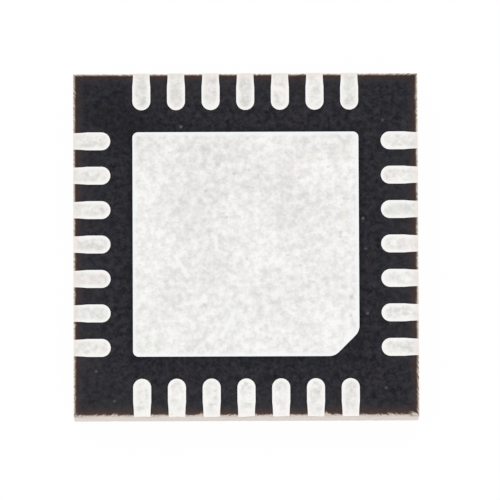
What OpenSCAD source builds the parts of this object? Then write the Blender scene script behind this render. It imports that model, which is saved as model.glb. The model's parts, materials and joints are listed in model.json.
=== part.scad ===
// Quad flat no-lead integrated circuit, lying on its marked face with its terminals up.
// The origin is the centre of the marked face, and +Z points to the terminals.
// The chamfered corner of the thermal pad, next to terminal 1, is at +X and -Y.
// Seen from the terminals, leads 1 to 28 run clockwise: along -Y, then -X, +Y and +X.

/* [Package] */
// Side of the square body, between opposite saw cuts
body_side = 4.97; // [4.5:0.01:5.5]
// Height from the marked face to the terminals
package_h = 0.75; // [0.7:0.01:1]
// How far the terminals and the thermal pad stand above the mould compound
standoff = 0.02; // [0.01:0.005:0.05]
// Diameter of the round mark for terminal 1, sunk in the marked face
mark_d = 0.4; // [0.2:0.05:0.6]
// Depth of the round mark
mark_depth = 0.025; // [0.01:0.005:0.04]
// Distance from the round mark to the two nearest sides of the body
mark_edge = 0.35; // [0.2:0.05:0.6]

/* [Lead frame] */
// Thickness of the copper strip that the lead frame is etched from
frame_t = 0.2; // [0.15:0.01:0.23]
// Thickness left where the strip is half etched, on the side of the die
etched_t = 0.1; // [0.06:0.01:0.13]

/* [Leads] */
// Number of leads on each side
leads_per_side = 7; // [3:1:7]
// Distance between the centres of neighbouring leads
pitch = 0.5; // [0.45:0.01:0.52]
// Width of a lead
lead_w = 0.26; // [0.2:0.005:0.3]
// Length of a lead's exposed face, from the saw cut to its round inner end
lead_l = 0.535; // [0.42:0.005:0.56]
// How far each flank of a lead is etched in at the saw cut
neck_cut = 0.011; // [0.005:0.001:0.03]
// Length over which a lead narrows towards the saw cut
neck_l = 0.2; // [0.08:0.01:0.24]
// Width of the half-etched lip that locks a lead into the mould compound
lead_lip = 0.045; // [0.02:0.005:0.06]
// Distance from the saw cut to the start of a lead's lip
lip_start = 0.2; // [0.1:0.01:0.24]

/* [Die paddle] */
// Gap between the inner ends of the leads and the square thermal pad
pad_gap = 0.32; // [0.28:0.005:0.4]
// Length cut from each side of the thermal pad by the chamfer at terminal 1
pad_chamfer = 0.355; // [0.25:0.005:0.6]
// Radius of the thermal pad's three square corners
pad_corner_r = 0.08; // [0.03:0.01:0.15]
// Radius where the chamfer meets the sides of the thermal pad
pad_chamfer_r = 0.2; // [0.05:0.01:0.3]
// Width of the half-etched lip around the thermal pad
pad_lip = 0.1; // [0.04:0.01:0.14]
// Width of the half-etched tie bars that run to the corners of the body
tie_w = 0.2; // [0.12:0.01:0.25]

/* [Die] */
// Size of the silicon die along X
die_x = 2.5; // [2:0.05:2.8]
// Size of the silicon die along Y
die_y = 2.3; // [2:0.05:2.8]
// Thickness of the silicon die
die_t = 0.25; // [0.15:0.01:0.3]
// Thickness of the adhesive between the die and the paddle
bond_line = 0.03; // [0.015:0.005:0.05]
// How far the adhesive spreads beyond the die, on the paddle
fillet_w = 0.1; // [0.04:0.01:0.15]
// How far the adhesive climbs the sides of the die
fillet_h = 0.1; // [0.04:0.01:0.14]
// Thickness of the adhesive at the top of that climb
fillet_tip = 0.01; // [0.005:0.005:0.02]

/* [Bond wires] */
// Diameter of the gold wire
wire_d = 0.025; // [0.018:0.001:0.035]
// Diameter of the ball that is pressed onto the die
ball_d = 0.07; // [0.05:0.005:0.09]
// Height of that ball
ball_h = 0.03; // [0.02:0.002:0.04]
// Height of the loop above the die
loop_h = 0.15; // [0.12:0.01:0.2]
// Radius of the bend at the top of the loop
bend_r = 0.05; // [0.035:0.005:0.07]
// Radius of the bend where the wire lands on its lead
landing_r = 0.12; // [0.06:0.01:0.25]
// Length of the stitch that is pressed onto the lead
stitch_l = 0.09; // [0.06:0.01:0.12]
// Width of the stitch
stitch_w = 0.055; // [0.04:0.005:0.08]
// Thickness of the stitch at its end
stitch_t = 0.006; // [0.003:0.001:0.01]
// Distance from the die's edge to the centres of its bond pads
bond_inset = 0.08; // [0.05:0.01:0.15]
// Distance from the die's corner to the centre of the last bond pad in a row
bond_corner = 0.35; // [0.2:0.01:0.5]

/* [Hidden] */
$fn = 48;
mould_colour = [0.20, 0.20, 0.21];
tin_colour = [0.90, 0.89, 0.87];
adhesive_colour = [0.68, 0.68, 0.66];
silicon_colour = [0.33, 0.34, 0.40];
gold_colour = [0.86, 0.66, 0.27];

// Heights, from the terminals down to the die's active face
mould_h = package_h - standoff;
frame_z = package_h - frame_t;
die_back_z = frame_z - bond_line;
die_face_z = die_back_z - die_t;

pad_side = body_side - 2 * (lead_l + pad_gap);
lead_count = 4 * leads_per_side;
last_in_row = leads_per_side - 1;
wire_r = wire_d / 2;
wire_sides = 8;
// From the die's active face to the face of the leads that the wires land on
wire_drop = die_t + bond_line;
// Space beyond a cut, so that no face is left on it
clear = 1;

function two_digits(number) = str(number < 10 ? "0" : "", number);
LEADS = [for (i = [1 : lead_count]) str("lead_", two_digits(i))];
WIRES = [for (i = [1 : lead_count]) str("bond_wire_", two_digits(i))];

// Place of a lead in its row, from the first one in counting order to the last
function side_of(i) = floor(i / leads_per_side);
function row_place(i, step) = (last_in_row / 2 - i % leads_per_side) * step;

// Size of the die across a row of bond pads, and along it
function die_depth(side) = side % 2 == 0 ? die_y : die_x;
function die_breadth(side) = side % 2 == 0 ? die_x : die_y;
function bond_step(side) = (die_breadth(side) - 2 * bond_corner) / last_in_row;

// Ends of a wire, seen from the terminals with its side of the body towards -Y
function bond_point(i) =
    [row_place(i, bond_step(side_of(i))), bond_inset - die_depth(side_of(i)) / 2];
function landing_point(i) =
    [row_place(i, pitch), lead_l - lead_w / 2 - body_side / 2 - stitch_l / 2];

// Turns what is drawn at the -Y side of the body to the side that lead i is on
module on_side(i) {
    rotate([0, 0, -90 * side_of(i)]) children();
}

// The exposed face of a lead, with its saw cut on the X axis and its round end at +Y
module lead_outline() {
    bite_r = (neck_l * neck_l + neck_cut * neck_cut) / (2 * neck_cut);
    difference() {
        union() {
            translate([-lead_w / 2, 0]) square([lead_w, lead_l - lead_w / 2]);
            translate([0, lead_l - lead_w / 2]) circle(d = lead_w);
        }
        for (flank = [-1, 1])
            translate([flank * (lead_w / 2 - neck_cut + bite_r), 0])
                circle(r = bite_r, $fn = 180);
    }
}

// The half-etched lip goes round the inner part of a lead, on the side of the die
module lead_lip_outline() {
    lip_w = lead_w + 2 * lead_lip;
    translate([-lip_w / 2, lip_start]) square([lip_w, lead_l - lead_w / 2 - lip_start]);
    translate([0, lead_l - lead_w / 2]) circle(d = lip_w);
}

module lead(i) {
    color(tin_colour)
        on_side(i)
            translate([row_place(i, pitch), -body_side / 2, frame_z]) {
                linear_extrude(frame_t) lead_outline();
                linear_extrude(etched_t) lead_lip_outline();
            }
}

// Points round a corner, counter-clockwise from one heading to another
function arc_points(centre, radius, from, to) =
    let (steps = round((to - from) / 7.5))
    [for (i = [0 : steps])
        let (heading = from + (to - from) * i / steps)
        centre + radius * [cos(heading), sin(heading)]];

// A square with one chamfered corner and rounded corners, larger by grow all round
module pad_outline(grow) {
    half = pad_side / 2;
    square_centre = half - pad_corner_r;
    // Centre of the arc where the chamfer meets a side, along that side and across it
    chamfer_along = half - pad_chamfer - pad_chamfer_r * tan(22.5);
    chamfer_across = half - pad_chamfer_r;
    square_r = pad_corner_r + grow;
    chamfer_r = pad_chamfer_r + grow;
    polygon(concat(
        arc_points([chamfer_along, -chamfer_across], chamfer_r, 270, 315),
        arc_points([chamfer_across, -chamfer_along], chamfer_r, 315, 360),
        arc_points([square_centre, square_centre], square_r, 0, 90),
        arc_points([-square_centre, square_centre], square_r, 90, 180),
        arc_points([-square_centre, -square_centre], square_r, 180, 270)
    ));
}

// One half-etched bar across each diagonal, trimmed by the saw cuts
module tie_bars_outline() {
    intersection() {
        square(body_side, center = true);
        for (turn = [45, 135])
            rotate(turn) square([2 * body_side, tie_w], center = true);
    }
}

module die_paddle() {
    color(tin_colour)
        translate([0, 0, frame_z]) {
            linear_extrude(frame_t) pad_outline(0);
            linear_extrude(etched_t) {
                pad_outline(pad_lip);
                tie_bars_outline();
            }
        }
}

module die_block() {
    translate([-die_x / 2, -die_y / 2, die_face_z]) cube([die_x, die_y, die_t]);
}

module die() {
    color(silicon_colour) die_block();
}

// A ridge of adhesive along Y, as wide as the die at its tip and spreading to its foot at z = 0
module adhesive_ridge(die_width, length) {
    foot = die_width / 2 + fillet_w;
    tip = die_width / 2 + fillet_tip;
    height = bond_line + fillet_h;
    rotate([90, 0, 0])
        linear_extrude(length, center = true)
            polygon([[-foot, 0], [foot, 0], [tip, height], [-tip, height]]);
}

// A thin layer under the die, with a fillet that climbs the die's four sides
module die_attach() {
    color(adhesive_colour)
        difference() {
            translate([0, 0, frame_z])
                mirror([0, 0, 1])
                    intersection() {
                        adhesive_ridge(die_x, die_y + clear);
                        rotate([0, 0, 90]) adhesive_ridge(die_y, die_x + clear);
                    }
            die_block();
        }
}

// Stations along the middle of a wire, from a die pad at the origin to a lead at +X, with the
// die's face at z = 0. Each is [x, z, heading above +X, width, height].
// The ball is pressed flat against the die, and flat again under the tool.
function ball_stations() = let (flat_d = sqrt(ball_d * ball_d - ball_h * ball_h)) [
    [0, 0, 90, flat_d, flat_d],
    [0, ball_h / 2, 90, ball_d, ball_d],
    [0, ball_h, 90, flat_d, flat_d],
    [0, ball_h, 90, wire_d, wire_d]
];

// A bend of the wire from one heading to another, round a centre on its inner side
function bend_stations(centre, radius, from, to, steps) =
    let (side = sign(to - from))
    [for (i = [0 : steps])
        let (heading = from + (to - from) * i / steps)
        [centre.x + side * radius * sin(heading), centre.y - side * radius * cos(heading),
         heading, wire_d, wire_d]];

// The stitch thins towards its end, flat on the lead, and is widest before it
function stitch_stations(x, z) = [
    [x + stitch_l / 2, z + (wire_d + stitch_t) / 4, 0, stitch_w, (wire_d + stitch_t) / 2],
    [x + stitch_l, z + stitch_t / 2, 0, stitch_w / 2, stitch_t]
];

// The wire rises from its ball, bends over, runs straight down to its lead and bends flat onto it
function wire_stations(span) =
    let (
        top = [bend_r, loop_h - wire_r - bend_r],
        landing = [span, landing_r + wire_r - wire_drop],
        between = landing - top,
        radii = bend_r + landing_r,
        slope = atan2(-between.y, between.x)
            + atan2(radii, sqrt(between * between - radii * radii))
    )
    concat(
        ball_stations(),
        bend_stations(top, bend_r, 90, -slope, 4),
        bend_stations(landing, landing_r, -slope, 0, 2),
        stitch_stations(span, -wire_drop)
    );

// One ring of the wire's skin: a regular outline stretched to the station's width and height
function ring(station) =
    let (reach = 1 / cos(180 / wire_sides), heading = station[2])
    [for (k = [0 : wire_sides - 1])
        let (
            turn = (k + 0.5) * 360 / wire_sides,
            across = cos(turn) * reach * station[3] / 2,
            up = sin(turn) * reach * station[4] / 2
        )
        [station[0] - up * sin(heading), across, station[1] + up * cos(heading)]];

module wire_loop(span) {
    stations = wire_stations(span);
    rings = len(stations);
    last_ring = (rings - 1) * wire_sides;
    polyhedron(
        points = [for (station = stations) each ring(station)],
        faces = concat(
            [[for (k = [0 : wire_sides - 1]) k]],
            [for (row = [0 : rings - 2], k = [0 : wire_sides - 1])
                let (
                    here = row * wire_sides + k,
                    beside = row * wire_sides + (k + 1) % wire_sides
                )
                each [[here, here + wire_sides, beside],
                      [beside, here + wire_sides, beside + wire_sides]]],
            [[for (k = [0 : wire_sides - 1]) last_ring + wire_sides - 1 - k]]
        )
    );
}

module bond_wire(i) {
    start = bond_point(i);
    way = landing_point(i) - start;
    color(gold_colour)
        on_side(i)
            translate([start.x, start.y, die_face_z])
                rotate([0, 0, atan2(way.y, way.x)])
                    mirror([0, 0, 1])
                        wire_loop(norm(way));
}

// The sunk round mark near terminal 1, on the marked face
module terminal_1_mark() {
    reach = body_side / 2 - mark_edge - mark_d / 2;
    translate([reach, -reach, -clear]) cylinder(d = mark_d, h = clear + mark_depth);
}

// The block of mould compound that is cast round everything else and sawn square
module mould_body() {
    color(mould_colour)
        difference() {
            translate([-body_side / 2, -body_side / 2, 0])
                cube([body_side, body_side, mould_h]);
            terminal_1_mark();
            die_paddle();
            die_attach();
            die_block();
            for (i = [0 : lead_count - 1]) {
                lead(i);
                bond_wire(i);
            }
        }
}

mould_body();
die_paddle();
die_attach();
die();
for (i = [0 : lead_count - 1]) {
    lead(i);
    bond_wire(i);
}
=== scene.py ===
# %% [markdown]
# This lesson dresses one small surface-mount chip: a quad flat no-lead package, 4.97 mm square, lying on
# its marked face with its terminals up. The real thing is a block of black epoxy, cast round a copper
# lead frame, a silicon die and 28 gold wires, and sawn out of a strip of hundreds. The solids come ready
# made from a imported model, at their real size and in their real places. The script never moves them. It
# finishes their surfaces, rounds the tin plating, chips the sawn edges and photographs the part on a
# white table.

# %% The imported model
import json
import math

import bmesh
import bpy
from mathutils import Euler, Matrix, Vector, noise

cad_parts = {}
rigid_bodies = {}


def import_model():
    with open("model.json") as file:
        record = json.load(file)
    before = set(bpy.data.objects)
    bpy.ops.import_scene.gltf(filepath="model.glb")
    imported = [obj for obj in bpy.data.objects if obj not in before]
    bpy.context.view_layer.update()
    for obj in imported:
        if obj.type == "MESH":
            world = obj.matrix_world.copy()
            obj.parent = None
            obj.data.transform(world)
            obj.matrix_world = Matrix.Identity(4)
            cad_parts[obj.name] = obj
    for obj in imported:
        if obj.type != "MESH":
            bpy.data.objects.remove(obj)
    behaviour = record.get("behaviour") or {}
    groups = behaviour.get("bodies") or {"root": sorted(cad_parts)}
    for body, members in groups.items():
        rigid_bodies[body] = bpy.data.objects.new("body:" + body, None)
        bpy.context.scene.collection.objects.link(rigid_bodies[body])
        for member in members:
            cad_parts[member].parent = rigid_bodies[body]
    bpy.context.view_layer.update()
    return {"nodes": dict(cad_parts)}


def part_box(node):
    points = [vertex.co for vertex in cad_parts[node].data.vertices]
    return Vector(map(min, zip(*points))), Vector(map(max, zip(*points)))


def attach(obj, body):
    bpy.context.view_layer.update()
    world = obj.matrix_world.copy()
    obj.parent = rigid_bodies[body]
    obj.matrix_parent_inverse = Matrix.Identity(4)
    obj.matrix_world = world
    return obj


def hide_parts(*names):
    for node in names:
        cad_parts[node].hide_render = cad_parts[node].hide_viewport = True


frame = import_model()
nodes = frame["nodes"]
print("nodes in the packed model:", len(nodes))

# %% [markdown]
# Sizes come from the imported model, so that everything below follows it. Blender works in metres here, and
# the part is small enough that millimetres read better, so MM turns one into the other. The mould's upper
# face and the plated faces are two heights: the terminals stand a little proud of the epoxy. The pitch is
# the step from one terminal to the next. Heights closer together than SAME_HEIGHT count as one.

# %% Sizes of the package
MM = 0.001
SAME_HEIGHT = 0.001
LEADS = sorted(name for name in nodes if name.startswith("lead_"))
WIRES = sorted(name for name in nodes if name.startswith("bond_wire_"))
mould_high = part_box("mould_body")[1]
half_side = mould_high.x / MM
mould_face = mould_high.z / MM
plated_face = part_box("die_paddle")[1].z / MM


def plated_points(name):
    """The corner points of a piece's plated face, in millimetres."""
    points = [vertex.co / MM for vertex in nodes[name].data.vertices]
    return [point for point in points if point.z > plated_face - SAME_HEIGHT]


def middle_x(name):
    """The X of a piece's middle, in millimetres."""
    low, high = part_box(name)
    return (low.x + high.x) / 2 / MM


pad_points = plated_points("die_paddle")
pad_half = max(point.x for point in pad_points)
chamfer_line = max(point.x - point.y for point in pad_points)
lead_points = plated_points(LEADS[0])
lead_half = (max(point.x for point in lead_points) - min(point.x for point in lead_points)) / 2
round_end = min(abs(point.y) for point in lead_points) + lead_half
pitch = abs(middle_x(LEADS[0]) - middle_x(LEADS[1]))
print("package side", round(2 * half_side, 3), "with its face at", round(mould_face, 3))
print("pad side", round(2 * pad_half, 3), "with its face at", round(plated_face, 3))
print("lead width", round(2 * lead_half, 3), "at a pitch of", round(pitch, 4))
print("round ends of the leads centred", round(round_end, 3), "from the middle")

# %% [markdown]
# A product photographer shoots a flat part from nearly straight above with a long lens. The tilt here is
# a little over seven degrees, enough to show a sliver of the sawn face nearest the camera. The lens and
# the distance give 69.41 pixels a millimetre in a frame 500 pixels wide. The part sits slightly off the
# middle of the frame, and the camera is stepped sideways for that, which keeps the lens free of shift.

# %% Camera
FRAME_PX = 500
PX_PER_MM = 69.41
SENSOR = 36
CAMERA_DISTANCE = 150
NEAREST_SEEN = 10
FARTHEST_SEEN = 1000
CAMERA_TURN = Euler((math.radians(-7.2), math.radians(0.28), math.radians(0.21)))
PAD_CENTRE_PX = (245.86, 243.95)

to_world = CAMERA_TURN.to_matrix().transposed()
step_right = (FRAME_PX / 2 - PAD_CENTRE_PX[0]) / PX_PER_MM
step_up = (PAD_CENTRE_PX[1] - FRAME_PX / 2) / PX_PER_MM
lens_data = bpy.data.cameras.new("copy stand lens")
lens_data.sensor_width = SENSOR
lens_data.lens = PX_PER_MM * SENSOR * CAMERA_DISTANCE / FRAME_PX
lens_data.clip_start = NEAREST_SEEN * MM
lens_data.clip_end = FARTHEST_SEEN * MM
camera = bpy.data.objects.new("copy stand camera", lens_data)
camera.matrix_world = to_world.to_4x4()
from_pad = to_world @ Vector((step_right, step_up, CAMERA_DISTANCE))
camera.location = (Vector((0, 0, plated_face)) + from_pad) * MM
bpy.context.scene.collection.objects.link(camera)
bpy.context.scene.camera = camera
print("camera at", [round(c / MM, 2) for c in camera.location], "mm, lens", round(lens_data.lens, 1))

# %% [markdown]
# Shader nodes are wired by many small lines, so a few helpers keep the recipes short. One adds a node and
# sets its sockets by name, where a socket takes either a plain value or another node's output. Others do
# arithmetic or mix two colours, and the last lays a tint over a colour where a mask says so.

# %% Helpers for shader nodes
def feed(tree, socket, value):
    """Links an output to the socket, or sets the socket's own value."""
    if isinstance(value, bpy.types.NodeSocket):
        tree.links.new(value, socket)
    else:
        socket.default_value = value


def feed_all(tree, node, sockets):
    """Feeds the node's named sockets."""
    for name, value in sockets.items():
        feed(tree, node.inputs[name], value)


def add_node(tree, kind, sockets=None, **settings):
    """Adds a shader node with its settings, and feeds its named sockets."""
    made = tree.nodes.new("ShaderNode" + kind)
    for name, value in settings.items():
        setattr(made, name, value)
    feed_all(tree, made, sockets or {})
    return made


def calculate(tree, operation, *values, clamp=False):
    """One step of arithmetic on single values."""
    made = add_node(tree, "Math", operation=operation, use_clamp=clamp)
    for socket, value in zip(made.inputs, values):
        feed(tree, socket, value)
    return made.outputs[0]


def calculate_vector(tree, operation, *values, output=0):
    """One step of arithmetic on vectors. Output 1 is the single value of a length or a dot product."""
    made = add_node(tree, "VectorMath", operation=operation)
    for socket, value in zip(made.inputs, values):
        feed(tree, socket, value)
    return made.outputs[output]


def ramp_between(tree, value, low=0.0, high=1.0, start=0.0, end=1.0):
    """Turns a value from low to high into start to end, and keeps it inside them."""
    sockets = {"Value": value, "From Min": low, "From Max": high, "To Min": start, "To Max": end}
    return add_node(tree, "MapRange", sockets, interpolation_type="SMOOTHSTEP").outputs["Result"]


def fall_between(tree, value, low=0.0, high=1.0):
    """1 where the value is below low, falling to 0 above high."""
    return ramp_between(tree, value, low, high, start=1.0, end=0.0)


def mix_colours(tree, share, first, second):
    """The first colour where share is 0 and the second where it is 1."""
    made = add_node(tree, "Mix", data_type="RGBA")
    feed(tree, made.inputs[0], share)
    feed(tree, made.inputs[6], first)
    feed(tree, made.inputs[7], second)
    return made.outputs[2]


def lay_tint(tree, colour, mask, strength, tint):
    """Lays a tint over the colour where the mask is 1, as strongly as the strength says."""
    return mix_colours(tree, calculate(tree, "MULTIPLY", mask, strength), colour, tint)


# %% [markdown]
# Light for a matte part and a metal part at once comes from a white tent. The world is that tent: it
# lights the epoxy evenly. What the tin reflects is a little darker overhead, where the lens looks in, so
# a flat terminal comes out a shade below its rounded rim. It is darker again near the table, which gives
# metal seen from the side its shape, and brightest in front, so that rims facing the lens catch most. The
# camera itself sees pure white.

# %% World
SKY_FOR_MATT = 0.7
TENT_OVERHEAD = 0.96
TENT_SIDES = 1.0
TENT_SKIRT = 0.72
TENT_FRONT = 1.06
TENT_BACK = 0.98
OVERHEAD_FROM = (0.5, 0.95)
SKIRT_UP_TO = (0.05, 0.6)
FRONT_TO_BACK = (-0.7, 0.5)

world = bpy.data.worlds.new("white tent")
bpy.context.scene.world = world
world.use_nodes = True
tent = world.node_tree
tent.nodes.clear()
ray = add_node(tent, "LightPath")
seen_in_gloss = calculate(tent, "MAXIMUM", ray.outputs["Is Glossy Ray"], ray.outputs["Is Transmission Ray"])
direction = add_node(tent, "TexCoord").outputs["Generated"]
towards = add_node(tent, "SeparateXYZ", {"Vector": direction}).outputs
overhead = ramp_between(tent, towards["Z"], *OVERHEAD_FROM, TENT_SIDES, TENT_OVERHEAD)
near_table = ramp_between(tent, towards["Z"], *SKIRT_UP_TO, TENT_SKIRT, 1.0)
in_front = ramp_between(tent, towards["Y"], *FRONT_TO_BACK, TENT_FRONT, TENT_BACK)
gloss = calculate(tent, "MULTIPLY", calculate(tent, "MULTIPLY", overhead, near_table), in_front)
matt_or_gloss = add_node(tent, "Mix", {"Factor": seen_in_gloss}, data_type="FLOAT")
feed(tent, matt_or_gloss.inputs[2], SKY_FOR_MATT)
feed(tent, matt_or_gloss.inputs[3], gloss)
strength = calculate(tent, "MAXIMUM", matt_or_gloss.outputs[0], ray.outputs["Is Camera Ray"])
sky = add_node(tent, "Background", {"Color": (1, 1, 1, 1), "Strength": strength})
add_node(tent, "OutputWorld", {"Surface": sky.outputs[0]})
bpy.context.scene.view_settings.view_transform = "Standard"
print("world:", world.name)

# %% [markdown]
# Two soft boxes give the sides some shape and the table a faint shadow. A lamp's power depends on its
# distance, and at this scale watts are hard to judge. So each lamp is given by its share of white: the
# brightness that it alone would give a white card facing it. Power is share x pi x pi x distance squared,
# for a lamp that is small against its distance. Shiny surfaces don't see them: all that tin reflects is
# the tent and the table.

# %% Soft boxes
SOFT_BOX_DISTANCE = 60
SOFT_BOX_SIDE = 40


def soft_box(name, azimuth, elevation, share):
    """An area lamp aimed at the part from this compass angle and height, in degrees."""
    turn, lift = math.radians(azimuth), math.radians(elevation)
    away = Vector((math.sin(turn) * math.cos(lift), -math.cos(turn) * math.cos(lift), math.sin(lift)))
    lamp_data = bpy.data.lights.new(name, "AREA")
    lamp_data.shape = "SQUARE"
    lamp_data.size = SOFT_BOX_SIDE * MM
    lamp_data.energy = share * math.pi ** 2 * (SOFT_BOX_DISTANCE * MM) ** 2
    lamp = bpy.data.objects.new(name, lamp_data)
    lamp.location = away * SOFT_BOX_DISTANCE * MM
    lamp.rotation_mode = "QUATERNION"
    lamp.rotation_quaternion = away.to_track_quat("Z", "Y")
    lamp.visible_glossy = False
    bpy.context.scene.collection.objects.link(lamp)
    print(name, "power", round(lamp_data.energy, 4), "W")


soft_box("key soft box", azimuth=215, elevation=48, share=0.22)
soft_box("fill soft box", azimuth=40, elevation=40, share=0.12)

# %% [markdown]
# The table is a sheet of white card. A camera or a shiny surface sees it as nearly pure white, by its own
# glow, and a small matt share keeps the part's faint shadow. Light that the matt epoxy gathers from it is
# the card's own reflected light, so the glow adds nothing to the object.

# %% Table
TABLE_SIDE = 900
CARD = (0.92, 0.92, 0.92, 1)
CARD_GLOW_SHARE = 0.93
CARD_GLOW = 1.022

table_mesh = bpy.data.meshes.new("white card")
corner = TABLE_SIDE * MM / 2
corners = [(-corner, -corner, 0), (corner, -corner, 0), (corner, corner, 0), (-corner, corner, 0)]
table_mesh.from_pydata(corners, [], [(0, 1, 2, 3)])
table = bpy.data.objects.new("table", table_mesh)
bpy.context.scene.collection.objects.link(table)

card = bpy.data.materials.new("white card")
card.use_nodes = True
card_tree = card.node_tree
card_tree.nodes.clear()
ray = add_node(card_tree, "LightPath").outputs
seen = calculate(card_tree, "MAXIMUM", ray["Is Camera Ray"], ray["Is Glossy Ray"])
seen = calculate(card_tree, "MAXIMUM", seen, ray["Is Transmission Ray"])
matt_card = add_node(card_tree, "BsdfDiffuse", {"Color": CARD})
glow = add_node(card_tree, "Emission", {"Color": (1, 1, 1, 1), "Strength": CARD_GLOW})
glow_share = calculate(card_tree, "MULTIPLY", seen, CARD_GLOW_SHARE)
card_mix = add_node(card_tree, "MixShader", {0: glow_share, 1: matt_card.outputs[0], 2: glow.outputs[0]})
add_node(card_tree, "OutputMaterial", {"Surface": card_mix.outputs[0]})
table_mesh.materials.append(card)
print("table:", TABLE_SIDE, "mm of", card.name)

# %% [markdown]
# Effects that several finishes share are shader node groups, built once and placed with their own values.
# All of them read the place on the part in millimetres, from the object's own coordinates, so a grain
# keeps its real size on every piece and needs no unwrapping.

# %% Helper for node groups
SOCKET_KINDS = {float: "NodeSocketFloat", tuple: "NodeSocketVector"}


def start_group(name, inputs):
    """An empty group with named inputs, given with their usual values, and a mask as its output."""
    tree = bpy.data.node_groups.new(name, "ShaderNodeTree")
    for label, usual in inputs.items():
        socket = tree.interface.new_socket(label, in_out="INPUT", socket_type=SOCKET_KINDS[type(usual)])
        socket.default_value = usual
    tree.interface.new_socket("Mask", in_out="OUTPUT", socket_type="NodeSocketFloat")
    given = tree.nodes.new("NodeGroupInput").outputs
    result = tree.nodes.new("NodeGroupOutput").inputs
    return tree, given, result


def place_in_mm(tree):
    """The place on the part, in millimetres."""
    coordinates = add_node(tree, "TexCoord").outputs["Object"]
    return calculate_vector(tree, "MULTIPLY", coordinates, (1 / MM, 1 / MM, 1 / MM))


def place_axes(tree):
    """X, Y and Z of the place on the part, in millimetres."""
    return add_node(tree, "SeparateXYZ", {"Vector": place_in_mm(tree)}).outputs


def axes_from_middle(tree):
    """How far the place is from the middle along X, Y and Z, in millimetres."""
    absolute = calculate_vector(tree, "ABSOLUTE", place_in_mm(tree))
    return add_node(tree, "SeparateXYZ", {"Vector": absolute}).outputs


def use_group(tree, group, **values):
    """Places a group in a material with its own values. A word's underscores stand for spaces."""
    made = tree.nodes.new("ShaderNodeGroup")
    made.node_tree = group
    for name, value in values.items():
        feed(tree, made.inputs[name.replace("_", " ").capitalize()], value)
    return made.outputs[0]


# %% [markdown]
# Grain is the workhorse: a cloudy noise whose largest clouds have a given size, cut between two levels.
# Its roughness says how strong the finer clouds are. Rough and cut softly it is the mottle of matt tin or
# of filled epoxy, smooth and cut hard it is a stain, and squeezed along one direction it becomes the
# lines that a saw leaves. A seed moves the place far along X, where the noise is a different one.

# %% Grain group
SEED_STEP = 7.3


def seeded_place(tree, place, seed):
    """The place moved along X by the seed."""
    away = add_node(tree, "CombineXYZ", {"X": calculate(tree, "MULTIPLY", seed, SEED_STEP)}).outputs[0]
    return calculate_vector(tree, "ADD", place, away)


grain_inputs = {
    "Size": 0.05, "Roughness": 0.6, "Squeeze": (1.0, 1.0, 1.0), "Low": 0.3, "High": 0.7, "Seed": 0.0
}
grain, given, result = start_group("grain", grain_inputs)
squeezed = calculate_vector(grain, "MULTIPLY", place_in_mm(grain), given["Squeeze"])
moved = seeded_place(grain, squeezed, given["Seed"])
fineness = calculate(grain, "DIVIDE", 1.0, given["Size"])
cloud_sockets = {"Vector": moved, "Scale": fineness, "Detail": 3.0, "Roughness": given["Roughness"]}
cloud = add_node(grain, "TexNoise", cloud_sockets).outputs["Fac"]
feed(grain, result["Mask"], ramp_between(grain, cloud, given["Low"], given["High"]))
print("group", grain.name)

# %% [markdown]
# Marks are single small things scattered about: pits, filler specks, short scratches. A Voronoi texture
# drops one point in each cell of a loose grid. What lies near its point is the mark, and a random number
# for each cell decides whether that cell has one at all. Stretching the cells along one direction draws
# the dots out into scratches.

# %% Scattered marks group
MARK_EDGE = (0.6, 1.0)

mark_inputs = {"Spacing": 0.2, "Length": 0.02, "Width": 0.02, "Angle": 0.0, "Share": 0.5, "Seed": 0.0}
marks, given, result = start_group("scattered marks", mark_inputs)
turned = add_node(
    marks, "VectorRotate", {"Vector": place_in_mm(marks), "Angle": given["Angle"]}, rotation_type="Z_AXIS"
).outputs[0]
along = calculate(marks, "DIVIDE", given["Width"], given["Length"])
stretch = add_node(marks, "CombineXYZ", {"X": along, "Y": 1.0, "Z": 1.0}).outputs[0]
cells = seeded_place(marks, calculate_vector(marks, "MULTIPLY", turned, stretch), given["Seed"])
cell_scale = calculate(marks, "DIVIDE", 1.0, given["Spacing"])
scatter = add_node(marks, "TexVoronoi", {"Vector": cells, "Scale": cell_scale}).outputs
reach = calculate(marks, "DIVIDE", calculate(marks, "MULTIPLY", given["Width"], 0.5), given["Spacing"])
inside = fall_between(marks, calculate(marks, "DIVIDE", scatter["Distance"], reach), *MARK_EDGE)
lottery = add_node(marks, "SeparateColor", {"Color": scatter["Color"]}).outputs[0]
has_mark = calculate(marks, "LESS_THAN", lottery, given["Share"])
feed(marks, result["Mask"], calculate(marks, "MULTIPLY", inside, has_mark))
print("group", marks.name)

# %% [markdown]
# A stroke is one mark at a chosen place: a scratch from its start to its end, or a round spot where both
# are the same. The mask falls from 1 on the line to 0 at the given width, and a grain fed in as Fray
# frays its edge. A plain fray of 0.5 leaves the edge even.

# %% Stroke group
EVEN = 0.5
FRAY_LEAST = 0.3
FRAY_SPAN = 1.4
SHORTEST_SQUARED = 0.000001
STROKE_EDGE = (0.1, 1.0)

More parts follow.
